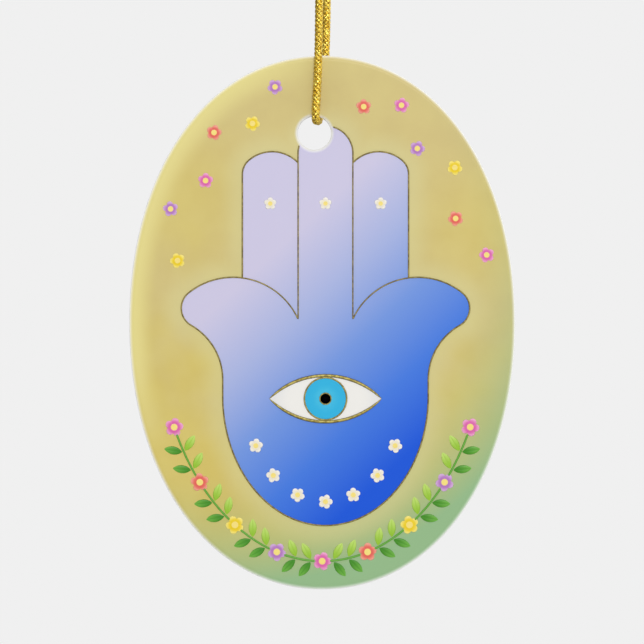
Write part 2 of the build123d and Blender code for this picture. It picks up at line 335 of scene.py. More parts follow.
braid = {
    "diameter": 1.2,
    "pitch": 2.9,  # one turn of a strand
    "strandsEachWay": 4,
    "strandPath": 0.49,  # strands go over and under each other about this radius
    "strandWave": 0.07,
    "strandHalfWidth": 0.25,
    "strandHalfThick": 0.105,
    "sectionPoints": 6,
    "coreRadius": 0.42,
    "coreSides": 8,
    "spacing": 0.125,
    "fray": 0.35,  # the cut ends open by this share, over this length
    "frayLength": 0.5,
    "strandClose": 0.2,  # strands and core draw to a close over these lengths
    "coreClose": 0.15,
    "cutLength": 0.3,  # the core has no painted shade, so is bright, this near to a cut
    "wrapRadius": 1.2,
    "wrapLow": 0.84,
    "wrapHigh": 3.72,
    "wrapStart": 118.0,
    "wrapEnd": 1030.0,
    "wrapPoints": 31,
    "splineOrder": 3,
    "splineSteps": 24,
    "twistStart": (0, 0, -3.0),
    "twistEnd": (0, 0, -32.0),
    "specular": 0.5,
    "metallic": 0.68,
    "gold": [  # from the dullest fleck to the brightest
        (0.1, screenColour(152, 110, 8)),
        (0.5, screenColour(234, 190, 44)),
        (0.9, screenColour(255, 236, 118)),
    ],
    "fleckScale": 3.2,
    "fleckRoughness": (0.5, 0.22),
    "strandStreak": 3.0,  # apart in the flecks' pattern, strand by strand and way by way
    "wayStreak": 20.0,
    "coreStreak": 2.0,
    # painted shade in the crevices: the braid's colour where it lies deep between and under the strands
    "deep": screenColour(116, 82, 10),
    "creviceShadeFade": (0.98, 0.7),  # shares of the braid's radius
    "grainScale": 6.0,
    "grainDepth": 0.05,
}
frontRoute = [
    (-2.52, 0.56, 12.0),  # first tail, into the middle of the knot
    (-1.5, 0.26, 9.7),
    (-0.65, 0.0, 7.8),
    (-0.5, 0.0, 5.4),
    (-0.1, 0.0, 3.9),
    (0.0, 0.0, 2.1),
    (-0.05, -0.2, 0.75),
    (-0.33, -1.3, 0.15),
    (-0.58, -2.29, -0.9),
    (-0.6, -2.37, -1.845),  # front strand
    (-0.65, -2.37, -9.0),
    (-0.82, -2.37, -34.0),
    (-1.21, -2.37, -41.2),
    (-1.36, -2.37, -44.2),  # through the hole
    (-1.08, 0.0, -44.06),
    (-0.8, 2.37, -44.2),
    (-0.46, 2.37, -41.2),
    (0.38, 2.37, -34.0),  # back strand
    (0.55, 2.37, -9.0),
    (0.6, 2.37, -1.845),
    (0.586, 2.317, -0.975),
    (0.42, 1.6, 0.0),
    (0.0, 1.3, 0.55),
]
tailRoute = [
    (1.08, -0.4, 4.02),  # out of the wraps and up
    (1.15, -0.02, 4.75),
    (0.95, 0.08, 5.7),
    (0.7, 0.0, 6.8),
    (0.85, -0.06, 8.3),
    (1.5, -0.26, 9.9),
    (2.52, -0.56, 12.0),
]


def braidRoute():
    # the wraps of the knot are a rising circle round the first tail
    turn = np.radians(np.linspace(braid["wrapStart"], braid["wrapEnd"], braid["wrapPoints"]))
    rise = np.linspace(braid["wrapLow"], braid["wrapHigh"], braid["wrapPoints"])
    circle = braid["wrapRadius"] * np.stack([np.cos(turn), np.sin(turn)], axis=1)
    return np.concatenate([frontRoute, np.c_[circle, rise], tailRoute])


def splineOf(route):
    # points of the smooth spline that has the route as its control points
    curve = bpy.data.curves.new("route", "CURVE")
    curve.dimensions = "3D"
    curve.resolution_u = braid["splineSteps"]
    spline = curve.splines.new("NURBS")
    spline.points.add(len(route) - 1)
    spline.points.foreach_set("co", np.c_[route * mm, np.ones(len(route))].ravel())
    spline.order_u = braid["splineOrder"]
    spline.use_endpoint_u = True
    holder = bpy.data.objects.new("route", curve)
    mesh = bpy.data.meshes.new_from_object(holder)
    points = np.empty(3 * len(mesh.vertices))
    mesh.vertices.foreach_get("co", points)
    bpy.data.objects.remove(holder)
    bpy.data.curves.remove(curve)
    bpy.data.meshes.remove(mesh)
    return points.reshape(-1, 3) / mm


def carriedSides(points):
    # two directions across a line, carried along it without twist
    along = np.gradient(points, axis=0)
    along /= np.linalg.norm(along, axis=1)[:, None]
    across = np.empty_like(along)
    side = np.cross(along[0], (0, 1, 0))
    for row, way in enumerate(along):
        side = side - way * (side @ way)
        side /= np.linalg.norm(side)
        across[row] = side
    return across, np.cross(along, across)


def wholeTurn(count):
    return 2 * np.pi * np.arange(count) / count


def frayed(ends):
    # the braid opens towards a cut by a share that falls off with the length from it
    return 1 + braid["fray"] * np.exp(-ends / braid["frayLength"])


def closing(ends, length):
    # square root of the share of a length, so that an end is blunt
    return np.sqrt(np.clip(ends / length, 0, 1))


def strandShell(points, steps, across, other, way):
    # ribbons round the line at a radius that waves over and under, four times to a turn,
    # and with those of the other way opposite
    count = braid["strandsEachWay"]
    spin = 2 * np.pi * steps / braid["pitch"]
    turn = way * spin + wholeTurn(count)[:, None]
    ends = fromEnds(steps)
    radius = (braid["strandPath"] + way * braid["strandWave"] * np.cos(count * spin)) * frayed(ends)
    out = np.cos(turn)[..., None] * across + np.sin(turn)[..., None] * other
    middle = points + radius[None, :, None] * out
    heading = np.gradient(middle, axis=1)
    heading /= np.linalg.norm(heading, axis=2)[..., None]
    level = np.cross(out, heading)
    level /= np.linalg.norm(level, axis=2)[..., None]
    section = wholeTurn(braid["sectionPoints"])
    close = closing(ends, braid["strandClose"])[None, :, None, None]
    wide = braid["strandHalfWidth"] * close * np.cos(section)[:, None]
    thick = braid["strandHalfThick"] * close * np.sin(section)[:, None]
    ring = middle[:, :, None] + wide * level[:, :, None] + thick * out[:, :, None]
    height = radius[None, :, None] + braid["strandHalfThick"] * np.sin(section)
    height = height / (braid["diameter"] / 2)
    streak = np.cos(section) + braid["strandStreak"] * np.arange(count)[:, None, None]
    streak = streak + braid["wayStreak"] * (way > 0)
    return shell(ring * mm, False, True, height=height, along=steps[None, :, None], streak=streak)


def coreShell(points, steps, across, other):
    # a plain round core, with painted shade between the strands and none, so bright, at its cuts
    turn = wholeTurn(braid["coreSides"])
    ends = fromEnds(steps)
    radius = braid["coreRadius"] * frayed(ends) * closing(ends, braid["coreClose"])
    out = np.cos(turn)[:, None] * across[:, None] + np.sin(turn)[:, None] * other[:, None]
    ring = points[:, None] + radius[:, None, None] * out
    height = np.where(ends < braid["cutLength"], 1.0, 0.5)[None, :, None]
    streak = braid["coreStreak"] * np.cos(turn)
    return shell(ring[None] * mm, False, True, height=height, along=steps[None, :, None], streak=streak)


def braidMaterial():
    material, tree, shader = newMaterial("goldBraid", specular=braid["specular"], metallic=braid["metallic"])
    along, streak = mark(tree, "along"), mark(tree, "streak")
    place = addNode(tree, "CombineXYZ", {"X": along, "Y": streak}).outputs["Vector"]
    flecks = addNode(tree, "TexVoronoi", {"Vector": place, "Scale": braid["fleckScale"], "Randomness": 1.0})
    spark = addNode(tree, "SeparateColor", {"Color": flecks.outputs["Color"]}).outputs["Red"]
    gold = ramp(tree, spark, 0.0, 1.0, braid["gold"])
    # painted shade in the crevices, where the braid lies deep between and under the strands
    deep = smooth(tree, mark(tree, "height"), *braid["creviceShadeFade"])
    plug(tree, shader.inputs["Base Color"], mixColours(tree, deep, gold, braid["deep"]))
    plug(tree, shader.inputs["Roughness"], smooth(tree, spark, 0.0, 1.0, *braid["fleckRoughness"]))
    bump(tree, shader, noise(tree, place, braid["grainScale"]), braid["grainDepth"])
    return material


def addBraid():
    spline = splineOf(braidRoute())
    points, steps = evenly(spline, braid["spacing"])
    across, other = carriedSides(points)
    shells = [strandShell(points, steps, across, other, way) for way in (1, -1)]
    shells.append(coreShell(points, steps, across, other))
    cord = makeMesh("goldBraid", shells, braidMaterial())
    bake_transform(cord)
    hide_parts("cord_knot", "cord_tails", "hanging_eye", "front_strand", "cord_bight", "back_strand")
    print("braid made:", round(steps[-1], 1), "mm,", len(cord.data.polygons), "faces")


addBraid()


# Porcelain oval and its printed ground

oval = {
    "fullness": 0.584,  # handle length of each quarter curve
    "rimRound": 0.8,
    "holeRound": 0.5,
    "holeRadius": 2.6,
    "holeSide": -1.2,
    "holeDrop": 12.05,
    "around": 384,
    "facePoints": 18,
    "roundPoints": 8,
    "roughness": 0.16,
    "specular": 0.45,
    "white": screenColour(243, 243, 240),
    "shade": screenColour(236, 236, 232),
    "shadeScale": 0.09,
    "shadeDetail": 3.0,
    "rippleScale": 0.5,
    "rippleDepth": 0.004,
}
ground = {
    "lift": 0.03,
    "sink": -0.03,
    "under": 0.15,
    "facePoints": 60,
    "lipEnd": 48.0,  # degrees down the hole's rounded edge where the coat ends
    "rimEnd": 66.0,
    "warm": screenColour(211, 191, 104),  # at the bottom, and cooler upwards
    "cool": screenColour(208, 190, 127),
    "drift": (0.2, 0.0, 0.85),
    "driftFade": (4.0, 44.0),
    "cloudScale": 0.11,  # clouds make that border uneven
    "cloudShift": 60.0,
    "sunny": [(-21.0, 20.0), (25.0, 15.0)],  # warm round these places too
    "sunnyFade": (15.0, 0.0),
    "sunnyShare": 0.65,
    "pale": screenColour(228, 216, 142),  # along the left edge, less at the bottom
    "paleSideFade": (12.0, -16.0),
    "paleEdgeFade": (5.6, 0.3),
    "paleRiseFade": (-25.0, -4.0),
    "mottleScale": 0.16,  # faint pale patches all over
    "mottleDetail": 3.0,
    "mottleFade": (0.3, 0.7),
    "mottleShare": 0.2,
    "green": screenColour(149, 186, 138),
    "greenFrom": (-13.5, 12.2),  # the green grows with the distance from this point
    "greenFade": (34.9, 83.3),
    "greenShare": 3.2,
    "glow": screenColour(217, 212, 156),  # round the hand, in this share
    "glowFade": (4.2, 0.0),
    "glowShare": 0.45,
    "glowSpacing": 1.0,
    "fingerBlur": 0.03,
    "white": screenColour(240, 240, 236),  # bare glaze along the rim and round the hole
    "rimFade": (-0.25, 0.6),
    "holeFade": (2.62, 3.2),
}
holeX = oval["holeSide"]
holeZ = halfHeight - oval["holeDrop"]


def ovalOutline(count):
    # one cubic quarter curve mirrored into four, with its outward directions
    turn = np.linspace(0, 4, count, endpoint=False)
    quarter = turn.astype(int)
    u = np.where(quarter % 2 == 1, 1 - (turn - quarter), turn - quarter)
    v = 1 - u
    handle = oval["fullness"]
    x = halfWidth * (v**3 + 3 * v**2 * u + 3 * handle * v * u**2)
    z = halfHeight * (3 * handle * v**2 * u + 3 * v * u**2 + u**3)
    x = x * np.where((quarter == 1) | (quarter == 2), -1, 1)
    z = z * np.where(quarter >= 2, -1, 1)
    alongX = np.roll(x, -1) - np.roll(x, 1)
    alongZ = np.roll(z, -1) - np.roll(z, 1)
    length = np.hypot(alongX, alongZ)
    return x, z, alongZ / length, -alongX / length


def ringPoints(holeShare, rimInset, lipOffset, depth):
    # rows between a circle round the hole and the oval's outline, along straight lines out from the hole,
    # and how far each point is from that outline
    x, z, outX, outZ = (part[:, None] for part in ovalOutline(oval["around"]))
    reach = np.hypot(x - holeX, z - holeZ)
    lip = oval["holeRadius"] + lipOffset
    rowX = holeShare * (holeX + lip * (x - holeX) / reach) + (1 - holeShare) * (x - outX * rimInset)
    rowZ = holeShare * (holeZ + lip * (z - holeZ) / reach) + (1 - holeShare) * (z - outZ * rimInset)
    return onFace(rowX, rowZ, -depth)[None], np.hypot(rowX - x, rowZ - z)


def edgeRows(radius, angles, lift=0.0):
    # rounded edge: how far in from the wall and how deep, from the face at 0 degrees to the wall at 90
    angles = np.radians(angles)
    return radius - (radius + lift) * np.sin(angles), radius - (radius + lift) * np.cos(angles)


def faceShares(count):
    # shares from the hole's lip (1) to the rim (0), closer together near both
    return 0.5 + 0.5 * np.cos(np.linspace(0, np.pi, count)[1:-1])


def porcelainMaterial():
    material, tree, shader = newMaterial("porcelainGlaze", oval["roughness"], oval["specular"])
    cloud = noise(tree, faceCoords(tree), oval["shadeScale"], oval["shadeDetail"])
    plug(tree, shader.inputs["Base Color"], mixColours(tree, cloud, oval["white"], oval["shade"]))
    bump(tree, shader, noise(tree, faceCoords(tree), oval["rippleScale"]), oval["rippleDepth"])
    return material


def addPorcelain():
    # rows from the hole's wall over the face, the rim and the back, to the hole's wall again
    rim, lip = oval["rimRound"], oval["holeRound"]
    down = np.linspace(0, 90, oval["roundPoints"])
    lipIn, lipDepth = edgeRows(lip, down[::-1])
    rimIn, rimDepth = edgeRows(rim, down)
    face = faceShares(oval["facePoints"])
    flat = np.zeros_like(face)
    edge = np.zeros_like(rimIn)
    share = np.concatenate([edge + 1, face, edge, edge, face[::-1], edge + 1])
    inset = np.concatenate([edge + rim, flat + rim, rimIn, rimIn[::-1], flat + rim, edge + rim])
    offset = np.concatenate([lipIn, flat + lip, edge + lip, edge + lip, flat + lip, lipIn[::-1]])
    back = thickness - np.concatenate([rimDepth[::-1], flat, lipDepth[::-1]])
    points = ringPoints(share, inset, offset, np.concatenate([lipDepth, flat, rimDepth, back]))[0]
    body = shell(points, True, True)
    addPiece("porcelainOval", [body], porcelainMaterial(), "porcelain", "porcelain_body")


def handGap(points):
    # mm from each point of the face to the nearest line of the hand
    x = (points[..., 0, None] - ovalMiddle.x) / mm
    z = (points[..., 2, None] - ovalMiddle.z) / mm
    lines = [evenly(path, ground["glowSpacing"])[0] for path in handPaths()]
    return np.min([np.hypot(x - line[:, 0], z - line[:, 1]).min(axis=-1) for line in lines], axis=0)


def groundMaterial():
    material, tree, shader = newMaterial("groundInk")
    rimGap = mark(tree, "rimGap")
    cloud = noise(tree, faceCoords(tree), ground["cloudScale"])
    cloud = maths(tree, "MULTIPLY", cloud, ground["cloudShift"])
    drift = maths(tree, "ADD", alongFace(tree, ground["drift"]), cloud)
    colour = mixColours(tree, smooth(tree, drift, *ground["driftFade"]), ground["warm"], ground["cool"])
    for x, z in ground["sunny"]:
        sunny = smooth(tree, away(tree, x, z), *ground["sunnyFade"], 0.0, ground["sunnyShare"])
        colour = mixColours(tree, sunny, colour, ground["warm"])
    left = smooth(tree, alongFace(tree, (1.0, 0.0, 0.0)), *ground["paleSideFade"])
    high = smooth(tree, alongFace(tree, (0.0, 0.0, 1.0)), *ground["paleRiseFade"])
    pale = maths(tree, "MULTIPLY", left, smooth(tree, rimGap, *ground["paleEdgeFade"]))
    colour = mixColours(tree, maths(tree, "MULTIPLY", pale, high), colour, ground["pale"])
    mottle = noise(tree, faceCoords(tree), ground["mottleScale"], ground["mottleDetail"])
    mottle = smooth(tree, mottle, *ground["mottleFade"], 0.0, ground["mottleShare"])
    colour = mixColours(tree, mottle, colour, ground["pale"])
    green = away(tree, *ground["greenFrom"])
    green = smooth(tree, green, *ground["greenFade"], 0.0, ground["greenShare"])
    colour = mixColours(tree, green, colour, ground["green"])
    glow = smooth(tree, mark(tree, "handGap"), *ground["glowFade"], 0.0, ground["glowShare"])
    colour = mixColours(tree, glow, colour, ground["glow"])
    half, blur = hand["middleHalf"], ground["fingerBlur"]
    finger = smooth(tree, away(tree, hand["side"], hand["fingerEnd"]), half + blur, half - blur)
    colour = mixColours(tree, finger, colour, handColours(tree))  # between the hand's film and the hole
    colour = mixColours(tree, smooth(tree, rimGap, *ground["rimFade"]), ground["white"], colour)
    holeGap = away(tree, holeX, holeZ)
    colour = mixColours(tree, smooth(tree, holeGap, *ground["holeFade"]), ground["white"], colour)
    plug(tree, shader.inputs["Base Color"], colour)
    inkGrain(tree, shader)
    return material


def addGround():
    # a coat on the face that runs a little way down both rounded edges and is closed inside the oval
    rim, lip = oval["rimRound"], oval["holeRound"]
    count = oval["roundPoints"]
    taper = np.where(np.arange(count) == count - 1, ground["sink"], ground["lift"])
    lipIn, lipDepth = edgeRows(lip, np.linspace(ground["lipEnd"], 0, count), taper[::-1])
    rimIn, rimDepth = edgeRows(rim, np.linspace(0, ground["rimEnd"], count), taper)
    face = faceShares(ground["facePoints"])
    flat = np.zeros_like(face)
    edge = np.zeros_like(rimIn)
    under = np.zeros(2)
    share = np.concatenate([edge + 1, face, edge, [0.0, 1.0]])
    inset = np.concatenate([edge + rim, flat + rim, rimIn, under + rim])
    offset = np.concatenate([lipIn, flat + lip, edge + lip, under + lip])
    depth = np.concatenate([lipDepth, flat - ground["lift"], rimDepth, under + ground["under"]])
    points, gap = ringPoints(share, inset, offset, depth)
    coat = shell(points, True, True, rimGap=gap, handGap=handGap(points))
    addPiece("groundPrint", [coat], groundMaterial(), "ochre_ink", "ground_print")


# Hand, with its gold lines

hand = {
    "side": 0.51,
    "middleHalf": 4.255,
    "fingerEnd": 26.3,  # centre of the middle finger's round end
    "outerEdge": 12.91,
    "crownSide": 8.2925,  # round end of an outer finger
    "crownHeight": 20.99,
    "crownRadius": 5.5575,
    "cornerRadius": 2.85,  # tighter round from the crown into the finger's side
    "thumbSide": 14.355,
    "thumbHeight": -4.08,
    "thumbRadius": 11.1,
    "tipRadius": 3.07,
    "wristSide": 25.665,  # hollow under a thumb
    "wristHeight": -8.87,
    "wristRadius": 9.7,
    "palmHalf": 15.965,
    "palmHeight": -11.45,
    "palmDepth": 20.1,
    "slope": (0.682, 0.0, -0.731),  # the blue deepens this way
    "slopeEnds": (-25.0, 30.0),
    "colours": [
        (-13.0, screenColour(206, 201, 227)),
        (-3.0, screenColour(169, 181, 225)),
        (6.0, screenColour(116, 151, 223)),
        (15.0, screenColour(70, 122, 222)),
        (24.0, screenColour(28, 88, 216)),
    ],
}
goldLine = {
    "half": 0.12,
    "eyeHalf": 0.25,
    "eyeTaper": 6.0,
    "irisHalf": 0.13,
    "pupilHalf": 0.1,
    "base": 0.02,
    "top": 0.13,
    "underHalf": 0.6,  # flat underside, as a share of half the width
    "underDepth": 0.02,
    "endSteps": (0.0, 0.1, 0.35, 0.7),  # points that round an end off, as shares of half the width
    "sectionPoints": 9,
    "arcPoints": 90,
    "spacing": 0.25,
    "cutSpacing": 0.0625,  # finer where lines are cut short
    "holeClear": 3.05,  # from the hole's centre
    "roughness": 0.5,
    "specular": 0.3,
    "metallic": 0.5,
    "grainScale": 2.2,
    "grainFade": (0.35, 0.65),
    "sideShadeFade": (0.45, 0.95),
    # each finish: a plain and a bright colour that vary at random, and a dark one painted as shade along the
    # line's sides
    "hand": (
        screenColour(110, 96, 50),  # plain
        screenColour(156, 140, 80),  # bright
        screenColour(54, 48, 24),  # painted shade along both sides of the raised line, partly the print's own dark edging
    ),
    "eye": (
        screenColour(128, 113, 54),
        screenColour(172, 158, 88),
        screenColour(62, 60, 36),
    ),
}


def arc(x, z, radiusX, radiusZ, start, end):
    turn = np.radians(np.linspace(start, end, goldLine["arcPoints"]))
    return np.stack([x + radiusX * np.cos(turn), z + radiusZ * np.sin(turn)], axis=1)


def bearing(fromX, fromZ, toX, toZ):
    return math.degrees(math.atan2(toZ - fromZ, toX - fromX))


def mirrored(path):
    return path[::-1] * (-1, 1)


def heightOn(x, z, radius, side):
    # upper half of a circle at a distance to the right
    return z + math.sqrt(radius**2 - (side - x) ** 2)


def handPaths():
    # right halves from the hand's axis, then mirrored
    thumbX, thumbZ, thumbR = hand["thumbSide"], hand["thumbHeight"], hand["thumbRadius"]
    wristX, wristZ, wristR = hand["wristSide"], hand["wristHeight"], hand["wristRadius"]
    crownX, crownZ, crownR = hand["crownSide"], hand["crownHeight"], hand["crownRadius"]
    half, edge = hand["middleHalf"], hand["outerEdge"]
    tipR, cornerR = hand["tipRadius"], hand["cornerRadius"]
    # the tip's centre is where circles inside the thumb's curve and round the wrist's cross
    inner, outer = thumbR - tipR, wristR + tipR
    gapX, gapZ = wristX - thumbX, wristZ - thumbZ
    gap = math.hypot(gapX, gapZ)
    share = (gap**2 + inner**2 - outer**2) / (2 * gap)
    rise = math.sqrt(inner**2 - share**2)
    tipX = thumbX + (gapX * share - gapZ * rise) / gap
    tipZ = thumbZ + (gapZ * share + gapX * rise) / gap
    foot = heightOn(thumbX, thumbZ, thumbR, half)
    tipTurn = bearing(thumbX, thumbZ, tipX, tipZ)
    wristTurn = bearing(wristX, wristZ, tipX, tipZ)
    side = np.concatenate(
        [
            arc(thumbX, thumbZ, thumbR, thumbR, bearing(thumbX, thumbZ, half, foot), tipTurn),
            arc(tipX, tipZ, tipR, tipR, tipTurn, wristTurn - 180),
            arc(wristX, wristZ, wristR, wristR, wristTurn, 180),
            arc(0, hand["palmHeight"], hand["palmHalf"], hand["palmDepth"], 0, -90),
        ]
    )
    # the corner's circle touches the crown's from inside
    cornerX = edge - cornerR
    cornerZ = heightOn(crownX, crownZ, crownR - cornerR, cornerX)
    cornerTurn = bearing(crownX, crownZ, cornerX, cornerZ)
    crownIn = bearing(crownX, crownZ, half, heightOn(crownX, crownZ, crownR, half))
    finger = np.concatenate(
        [
            [(edge, heightOn(thumbX, thumbZ, thumbR, edge))],
            arc(cornerX, cornerZ, cornerR, cornerR, 0, cornerTurn),
            arc(crownX, crownZ, crownR, crownR, cornerTurn, crownIn),
        ]
    )
    middle = np.concatenate([[(half, foot)], arc(0, hand["fingerEnd"], half, half, 0, 90)])
    paths = [
        np.concatenate([side, mirrored(side)]),
        finger,
        mirrored(finger),
        np.concatenate([middle, mirrored(middle)]),
    ]
    return [path + (hand["side"], 0) for path in paths]


def clearOf(paths, centres, radius):
    # runs of each path that stay clear of round places
    runs = []
    for path in paths:
        path = evenly(path, goldLine["cutSpacing"])[0]
        gaps = np.linalg.norm(path[:, None] - np.asarray(centres)[None], axis=2).min(axis=1)
        keep = np.flatnonzero(gaps > radius)
        runs += [path[run] for run in np.split(keep, np.flatnonzero(np.diff(keep) > 1) + 1)]
    return runs


def beadShell(path, half, base, top, taper=0.0, closed=False):
    # a line with a half-round top and a flat underside, rounded off or drawn to a point at its ends
    path, steps = evenly(path, goldLine["spacing"])
    if closed:
        path = path[:-1]
        swell = np.ones(len(path))
        along = np.roll(path, -1, axis=0) - np.roll(path, 1, axis=0)
    else:
        ends = np.array(goldLine["endSteps"]) * half
        gone = steps
        steps = np.concatenate([ends, gone[1:-1], gone[-1] - ends[::-1]])
        path = resampled(path, gone, steps)
        inside = np.clip(fromEnds(steps) / max(taper, half), 0, 1)
        swell = np.sqrt(1 - (1 - inside) ** 2)
        along = np.gradient(path, axis=0)
    along /= np.linalg.norm(along, axis=1)[:, None]
    turn = np.linspace(0, np.pi, goldLine["sectionPoints"])
    flat, under = goldLine["underHalf"], -goldLine["underDepth"]
    out = np.r_[np.cos(turn), -flat, flat] * half
    lift = np.r_[(top - base) * np.sin(turn), under, under]
    x = path[:, 0, None] - along[:, 1, None] * out * swell[:, None]
    z = path[:, 1, None] + along[:, 0, None] * out * swell[:, None]
    edge = np.r_[np.abs(np.cos(turn)), 1.0, 1.0]
    return shell(onFace(x, z, base + lift * swell[:, None])[None], closed, True, edge=edge)


def handColours(tree):
    return ramp(tree, alongFace(tree, hand["slope"]), *hand["slopeEnds"], hand["colours"])


def dress(node, material):
    # a CAD film keeps its shape and gets a finish
    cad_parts[node].data.materials.clear()
    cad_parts[node].data.materials.append(material)


def handMaterial():
    material, tree, shader = newMaterial("handInk")
    plug(tree, shader.inputs["Base Color"], handColours(tree))
    inkGrain(tree, shader)
    return material


def goldMaterial(name):
    looks = [goldLine[key] for key in ("roughness", "specular", "metallic")]
    material, tree, shader = newMaterial(name + "Gold", *looks)
    plain, bright, sideShade = goldLine[name]
    grain = smooth(tree, noise(tree, faceCoords(tree), goldLine["grainScale"]), *goldLine["grainFade"])
    gold = mixColours(tree, grain, plain, bright)
    # painted shade: darker down both sides of the raised line, partly the print's own dark edging
    sides = smooth(tree, mark(tree, "edge"), *goldLine["sideShadeFade"])
    plug(tree, shader.inputs["Base Color"], mixColours(tree, sides, gold, sideShade))
    return material


def addHandLines():
    lines = clearOf(handPaths(), [(holeX, holeZ)], goldLine["holeClear"])
    shells = [beadShell(path, goldLine["half"], goldLine["base"], goldLine["top"]) for path in lines]
    addPiece("handLines", shells, goldMaterial("hand"), "gold_line", "hand_outline")


addPorcelain()
addGround()
print("porcelain and ground made")
addHandLines()
dress("hand_print", handMaterial())
print("hand made")


# Eye

eye = {
    "height": -11.85,
    "width": 17.4,
    "opening": 7.6,
    "line": 0.42,
    "irisRadius": 3.15,
    "irisLine": 0.27,
    "pupilRadius": 0.79,
    "pupilLine": 0.18,
    "base": 0.08,
    "lidTop": 0.2,
    "ringTop": 0.18,
    "whiteTop": 0.09,
    "whiteUnder": 0.05,
    "whiteRows": 61,
    "whiteColumns": (1.0, 0.97, 0.9),  # shares of half the opening
    "white": (screenColour(239, 237, 232), screenColour(226, 226, 226)),  # inner and outer colour
    "whiteFade": (5.5, 9.5),
    "whiteSpecular": 0.2,
    "iris": (screenColour(72, 190, 226), screenColour(54, 180, 224)),
    "irisFade": (1.0, 2.6),
    "irisSpecular": 0.1,
    "pupil": (screenColour(7, 7, 9), screenColour(1, 1, 2)),
    "pupilFade": (0.2, 0.9),
    "pupilSpecular": 0.0,
    "grainScale": 1.4,
    "grainShift": 0.5,
}


def lidPaths():
    # two equal arcs from corner to corner, drawn in by half the line at their middles
    opening = eye["opening"] - eye["line"]
    radius = (eye["width"] ** 2 + opening**2) / (4 * opening)
    drop = radius - opening / 2
    end = math.degrees(math.acos(drop / radius))
    upper = arc(hand["side"], eye["height"] - drop, radius, radius, 90 + end, 90 - end)
    lower = arc(hand["side"], eye["height"] + drop, radius, radius, 270 - end, 270 + end)
    return [upper, lower]


def lensHalves(length, width, rows):
    # places along a lens between two equal arcs, closer together at its points, and its half width there
    along = length * (0.5 - 0.5 * np.cos(np.linspace(0, np.pi, rows)))
    radius = (length**2 + width**2) / (4 * width)
    return along, np.sqrt(radius**2 - (along - length / 2) ** 2) - radius + width / 2


def eyeWhiteShell():
    # a flat lens that ends under the middles of the lids
    along, half = lensHalves(eye["width"], eye["opening"] - eye["line"], eye["whiteRows"])
    columns = np.array(eye["whiteColumns"])
    across = np.r_[columns, -columns[::-1]]
    lift = np.where(np.abs(across) == 1, eye["whiteUnder"], eye["whiteTop"])
    x = hand["side"] - eye["width"] / 2 + along[:, None]
    z = eye["height"] + half[:, None] * across
    return shell(onFace(x, z, lift)[None], False, True)


def eyeRing(radius, half):
    path = arc(hand["side"], eye["height"], radius, radius, 0, 360)
    return beadShell(path, half, eye["base"], eye["ringTop"], closed=True)


def eyeMaterial(name, part):
    # colour that changes outwards from the middle of the eye, with a faint grain
    material, tree, shader = newMaterial(name, specular=eye[part + "Specular"])
    grain = noise(tree, faceCoords(tree), eye["grainScale"])
    shift = maths(tree, "MULTIPLY", grain, eye["grainShift"])
    wavy = maths(tree, "ADD", away(tree, hand["side"], eye["height"]), shift)
    colour = mixColours(tree, smooth(tree, wavy, *eye[part + "Fade"]), *eye[part])
    plug(tree, shader.inputs["Base Color"], colour)
    return material


def addEye():
    gold = goldMaterial("eye")
    half, taper = goldLine["eyeHalf"], goldLine["eyeTaper"]
    lids = [beadShell(path, half, eye["base"], eye["lidTop"], taper) for path in lidPaths()]
    addPiece("eyeLids", lids, gold, "gold_line", "eye_outline")
    irisLine = eyeRing(eye["irisRadius"] + eye["irisLine"] / 2, goldLine["irisHalf"])
    addPiece("irisLine", [irisLine], gold, "gold_line", "iris_ring")
    pupilLine = eyeRing(eye["pupilRadius"] + eye["pupilLine"] / 2, goldLine["pupilHalf"])
    addPiece("pupilLine", [pupilLine], gold, "gold_line", "pupil_ring")
    addPiece("eyeWhite", [eyeWhiteShell()], eyeMaterial("eyeWhiteInk", "white"), "white_ink", "eye_white")
    dress("iris_print", eyeMaterial("irisInk", "iris"))
    dress("pupil_print", eyeMaterial("pupilInk", "pupil"))


addEye()
print("eye made")


# Garland, with loose blossoms above it

blossom = {
    "petals": 5,
    "reach": 0.87,
    "radius": 0.6,
    "heart": 0.54,
    "full": 2.94,  # across a blossom drawn with these sizes
    "around": 80,
    "rings": 9,
    "base": 0.025,
    "handBase": 0.065,  # on the hand's film
    "petalRise": 0.06,
    "petalSpread": 1.12,  # a petal's dome is this much wider than the petal
    "heartRise": 0.06,
    "underShare": 0.9,
    "underDepth": 0.02,
    "heartColour": screenColour(246, 224, 130),
    "heartFade": (0.56, 0.48),
    "paleFade": (0.7, 1.45),
    "foldFade": (0.66, 0.4),  # deeper between petals, in this share
    "foldShare": 0.35,
}
garland = {
    "inset": 4.4,
    "span": 64.0,
    "count": 9,
    "looseCount": 6,
    "looseInset": 3.4,
    "looseStagger": 3.2,
    "looseStart": 16.0,
    "looseEnd": 74.0,
    "looseSize": 2.45,
    "palmCount": 7,
    "palmInset": 3.7,
    "palmSpan": 62.0,
    "palmSize": 2.25,
    "fingerHeight": 18.5,
    "fingerSize": 1.96,
    "stemHalf": 0.16,
    "stemTop": 0.12,
    "stemPoints": 400,
    "stemClear": 1.15,  # from the middle of a blossom
    # the stem is pale along its top, with painted shade down its rounded sides over this share of its half
    # width
    "stemShadeFade": (0.2, 0.95),
}
leaf = {
    "pairs": 2,
    "length": 2.9,
    "width": 1.3,
    "splay": 56.0,
    "gap": 0.05,
    "start": 0.25,  # shares of the way from blossom to blossom
    "end": 0.58,
    "rise": 0.07,
    "groove": 0.55,  # shares of the rise and of half the width
    "grooveHalf": 0.16,
    "underHalf": 0.6,
    "underDepth": 0.15,
    "rows": 15,
    "columns": 9,
    "paleFade": (0.1, 1.0),
    "grooveFade": (0.22, 0.05),
    "grooveShare": 0.5,
}
